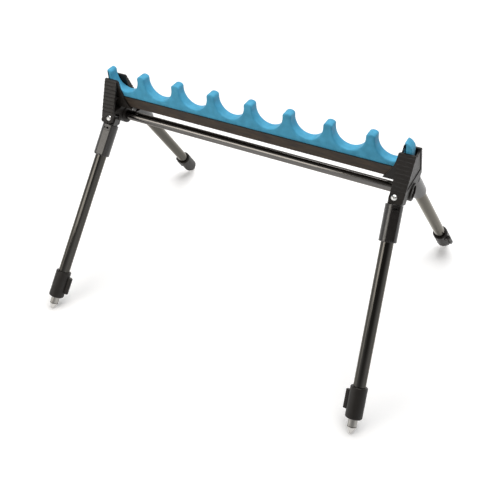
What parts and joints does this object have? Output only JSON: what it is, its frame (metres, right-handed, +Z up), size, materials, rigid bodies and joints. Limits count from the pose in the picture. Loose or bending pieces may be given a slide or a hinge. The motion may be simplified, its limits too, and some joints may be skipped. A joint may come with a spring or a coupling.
{
  "type": "folding fishing rod rest",
  "caption": "Free-standing fishing rod rest: a notched foam strip in a channel on end brackets, with folding telescopic legs on blunt spikes.",
  "frame": {"origin": "on the ground, below the middle of the rest", "axes": "+X along the rest to the right bracket, +Y to the rear legs, +Z up"},
  "size_m": [0.6416, 0.512, 0.3861],
  "materials": {
    "blue_foam": "matte",
    "dark_channel": "satin",
    "black_tube": "gloss",
    "bare_aluminium": "satin",
    "turned_steel": "satin",
    "chromed_bolt": "polished",
    "steel_hardware": "satin",
    "black_plastic": "satin"
  },
  "bodies": {
    "rest": {"eva_rod_rest": "blue_foam", "rest_channel": "dark_channel", "lower_crossbar": "black_tube", "crossbar_plugs": "black_plastic", "crossbar_screws": "steel_hardware", "channel_screws": "steel_hardware", "left_bracket": "black_plastic", "right_bracket": "black_plastic", "pivot_bolts": "chromed_bolt", "pivot_nuts": "steel_hardware"},
    "front_left_leg": {"front_left_pivot_block": "black_plastic", "front_left_button_spring": "steel_hardware", "front_left_outer_tube": "black_tube", "front_left_stop_ring": "black_plastic", "front_left_lock_collar": "black_plastic", "front_left_lever_pin": "steel_hardware", "front_left_clamp_pad": "bare_aluminium"},
    "front_left_inner_leg": {"front_left_inner_tube": "bare_aluminium", "front_left_slide_bush": "black_plastic", "front_left_spike_tip": "turned_steel"},
    "front_left_lever": {"front_left_cam_lever": "black_plastic"},
    "front_left_button": {"front_left_lock_button": "black_plastic"},
    "front_right_leg": {"front_right_pivot_block": "black_plastic", "front_right_button_spring": "steel_hardware", "front_right_outer_tube": "black_tube", "front_right_stop_ring": "black_plastic", "front_right_lock_collar": "black_plastic", "front_right_lever_pin": "steel_hardware", "front_right_clamp_pad": "bare_aluminium"},
    "front_right_inner_leg": {"front_right_inner_tube": "bare_aluminium", "front_right_slide_bush": "black_plastic", "front_right_spike_tip": "turned_steel"},
    "front_right_lever": {"front_right_cam_lever": "black_plastic"},
    "front_right_button": {"front_right_lock_button": "black_plastic"},
    "rear_left_leg": {"rear_left_pivot_block": "black_plastic", "rear_left_button_spring": "steel_hardware", "rear_left_outer_tube": "black_tube", "rear_left_stop_ring": "black_plastic", "rear_left_lock_collar": "black_plastic", "rear_left_lever_pin": "steel_hardware", "rear_left_clamp_pad": "bare_aluminium"},
    "rear_left_inner_leg": {"rear_left_inner_tube": "bare_aluminium", "rear_left_slide_bush": "black_plastic", "rear_left_spike_tip": "turned_steel"},
    "rear_left_lever": {"rear_left_cam_lever": "black_plastic"},
    "rear_left_button": {"rear_left_lock_button": "black_plastic"},
    "rear_right_leg": {"rear_right_pivot_block": "black_plastic", "rear_right_button_spring": "steel_hardware", "rear_right_outer_tube": "black_tube", "rear_right_stop_ring": "black_plastic", "rear_right_lock_collar": "black_plastic", "rear_right_lever_pin": "steel_hardware", "rear_right_clamp_pad": "bare_aluminium"},
    "rear_right_inner_leg": {"rear_right_inner_tube": "bare_aluminium", "rear_right_slide_bush": "black_plastic", "rear_right_spike_tip": "turned_steel"},
    "rear_right_lever": {"rear_right_cam_lever": "black_plastic"},
    "rear_right_button": {"rear_right_lock_button": "black_plastic"}
  },
  "joints": [
    {"name": "front_left_fold", "type": "hinge", "parent": "rest", "child": "front_left_leg", "pos_m": [-0.2667, -0.0323, 0.30226], "axis": [0, -0.8049, 0.5934], "range_deg": [0, 95.7]},
    {"name": "front_left_slide", "type": "slide", "parent": "front_left_leg", "child": "front_left_inner_leg", "axis": [0.0993, 0.5905, 0.8009], "range_m": [-0.2, 0]},
    {"name": "front_left_lever_turn", "type": "hinge", "parent": "front_left_leg", "child": "front_left_lever", "pos_m": [-0.28725, -0.22683, 0.02472], "axis": [-0.0993, -0.5905, -0.8009], "range_deg": [-100, 0]},
    {"name": "front_left_button_press", "type": "slide", "parent": "front_left_leg", "child": "front_left_button", "axis": [-0.2069, 0.7996, -0.5638], "range_m": [0, 0.002], "stiffness_N_per_m": 500, "springref_m": -0.002},
    {"name": "front_right_fold", "type": "hinge", "parent": "rest", "child": "front_right_leg", "pos_m": [0.2667, -0.0323, 0.30226], "axis": [0, 0.8049, -0.5934], "range_deg": [0, 84]},
    {"name": "front_right_slide", "type": "slide", "parent": "front_right_leg", "child": "front_right_inner_leg", "axis": [-0.0993, 0.5905, 0.8009], "range_m": [-0.2, 0]},
    {"name": "front_right_lever_turn", "type": "hinge", "parent": "front_right_leg", "child": "front_right_lever", "pos_m": [0.28725, -0.22683, 0.02472], "axis": [-0.0993, 0.5905, 0.8009], "range_deg": [-100, 0]},
    {"name": "front_right_button_press", "type": "slide", "parent": "front_right_leg", "child": "front_right_button", "axis": [-0.4975, 0.6676, -0.5539], "range_m": [0, 0.002], "stiffness_N_per_m": 500, "springref_m": -0.002},
    {"name": "rear_left_fold", "type": "hinge", "parent": "rest", "child": "rear_left_leg", "pos_m": [-0.2667, 0.0323, 0.30226], "axis": [0, -0.8049, -0.5934], "range_deg": [0, 95.7]},
    {"name": "rear_left_slide", "type": "slide", "parent": "rear_left_leg", "child": "rear_left_inner_leg", "axis": [0.0993, -0.5905, 0.8009], "range_m": [-0.2, 0]},
    {"name": "rear_left_lever_turn", "type": "hinge", "parent": "rear_left_leg", "child": "rear_left_lever", "pos_m": [-0.31352, 0.22528, 0.02683], "axis": [-0.0993, 0.5905, -0.8009], "range_deg": [-100, 0]},
    {"name": "rear_left_button_press", "type": "slide", "parent": "rear_left_leg", "child": "rear_left_button", "axis": [0.4975, -0.6676, -0.5539], "range_m": [0, 0.002], "stiffness_N_per_m": 500, "springref_m": -0.002},
    {"name": "rear_right_fold", "type": "hinge", "parent": "rest", "child": "rear_right_leg", "pos_m": [0.2667, 0.0323, 0.30226], "axis": [0, 0.8049, 0.5934], "range_deg": [0, 84]},
    {"name": "rear_right_slide", "type": "slide", "parent": "rear_right_leg", "child": "rear_right_inner_leg", "axis": [-0.0993, -0.5905, 0.8009], "range_m": [-0.2, 0]},
    {"name": "rear_right_lever_turn", "type": "hinge", "parent": "rear_right_leg", "child": "rear_right_lever", "pos_m": [0.31352, 0.22528, 0.02683], "axis": [-0.0993, -0.5905, 0.8009], "range_deg": [-100, 0]},
    {"name": "rear_right_button_press", "type": "slide", "parent": "rear_right_leg", "child": "rear_right_button", "axis": [0.2069, -0.7996, -0.5638], "range_m": [0, 0.002], "stiffness_N_per_m": 500, "springref_m": -0.002}
  ]
}
